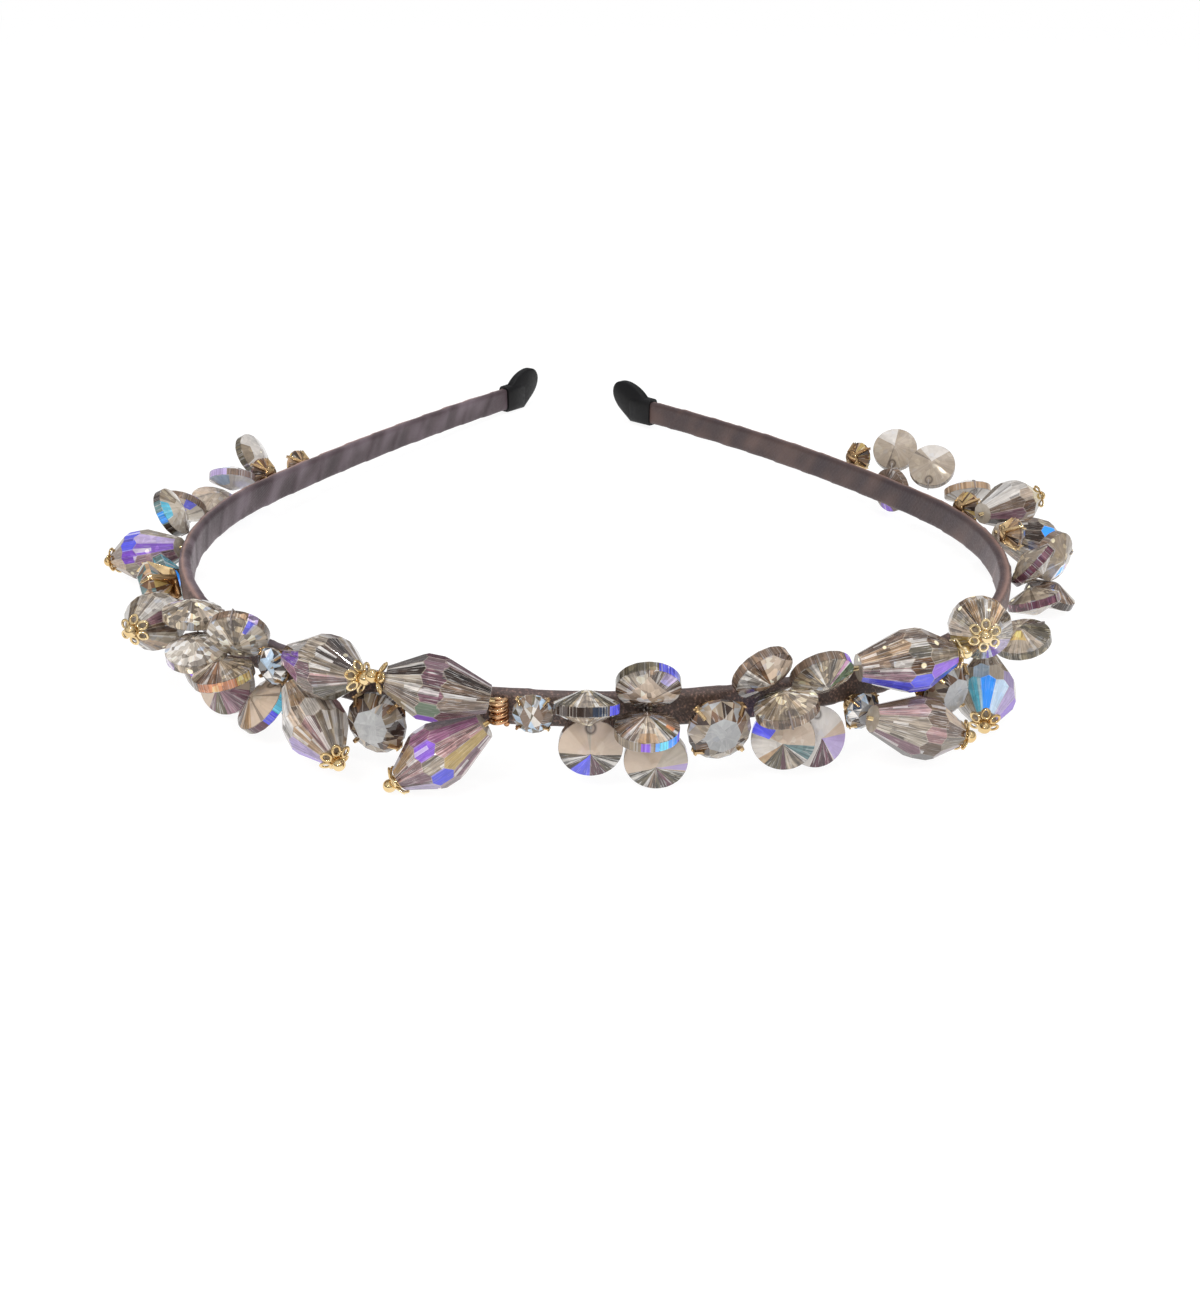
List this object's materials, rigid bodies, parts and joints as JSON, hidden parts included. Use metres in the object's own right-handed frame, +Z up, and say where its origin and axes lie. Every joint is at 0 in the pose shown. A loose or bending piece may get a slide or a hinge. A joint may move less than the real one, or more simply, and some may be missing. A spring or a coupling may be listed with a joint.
{
  "type": "crystal headband",
  "caption": "Open ribbon-wrapped headband that carries drilled crystal drops, disc crystals in petal groups, claw-set stones and a wire coil, with soft end tips.",
  "frame": {"origin": "centre of the bounding box, on the surface that the headband lies on", "axes": "+Z up from the surface, -Y toward the front of the band, +Y toward the two tips, +X to the right as seen from the front"},
  "size_m": [0.1598, 0.164, 0.0197],
  "materials": {
    "ribbon": "satin ribbon",
    "tip": "soft sheen",
    "drop_crystal": "faceted, iridescent coating",
    "disc_crystal": "faceted, clear greige with iridescent rims",
    "grey_crystal": "faceted, smoky opal",
    "clear_crystal": "faceted, clear with a blue cast",
    "cap_metal": "warm gold, polished",
    "setting_metal": "gold, polished",
    "coil_metal": "rose gold wire"
  },
  "bodies": {
    "root": {"wrapped_band": "ribbon", "tip_left": "tip", "tip_right": "tip", "drop_1": "drop_crystal", "drop_2": "drop_crystal", "drop_3": "drop_crystal", "drop_4": "drop_crystal", "drop_5": "drop_crystal", "drop_6": "drop_crystal", "drop_7": "drop_crystal", "drop_8": "drop_crystal", "drop_9": "drop_crystal", "drop_10": "drop_crystal", "drop_11": "drop_crystal", "drop_12": "drop_crystal", "drop_pins_left": "cap_metal", "drop_pins_right": "cap_metal", "disc_1": "disc_crystal", "disc_2": "disc_crystal", "disc_3": "disc_crystal", "disc_4": "disc_crystal", "disc_5": "disc_crystal", "disc_6": "disc_crystal", "disc_7": "disc_crystal", "disc_8": "disc_crystal", "disc_9": "disc_crystal", "disc_10": "disc_crystal", "disc_11": "disc_crystal", "disc_12": "disc_crystal", "disc_13": "disc_crystal", "disc_14": "disc_crystal", "disc_15": "disc_crystal", "disc_16": "disc_crystal", "disc_17": "disc_crystal", "disc_18": "disc_crystal", "disc_19": "disc_crystal", "disc_20": "disc_crystal", "disc_21": "disc_crystal", "disc_22": "disc_crystal", "disc_23": "disc_crystal", "disc_24": "disc_crystal", "disc_25": "disc_crystal", "disc_26": "disc_crystal", "disc_27": "disc_crystal", "disc_28": "disc_crystal", "disc_29": "disc_crystal", "disc_30": "disc_crystal", "disc_31": "disc_crystal", "disc_32": "disc_crystal", "grey_stone_1": "grey_crystal", "grey_stone_2": "grey_crystal", "grey_stone_3": "grey_crystal", "grey_stone_4": "grey_crystal", "grey_settings": "setting_metal", "clear_stones": "clear_crystal", "clear_settings": "setting_metal", "wire_coil": "coil_metal"}
  },
  "joints": []
}
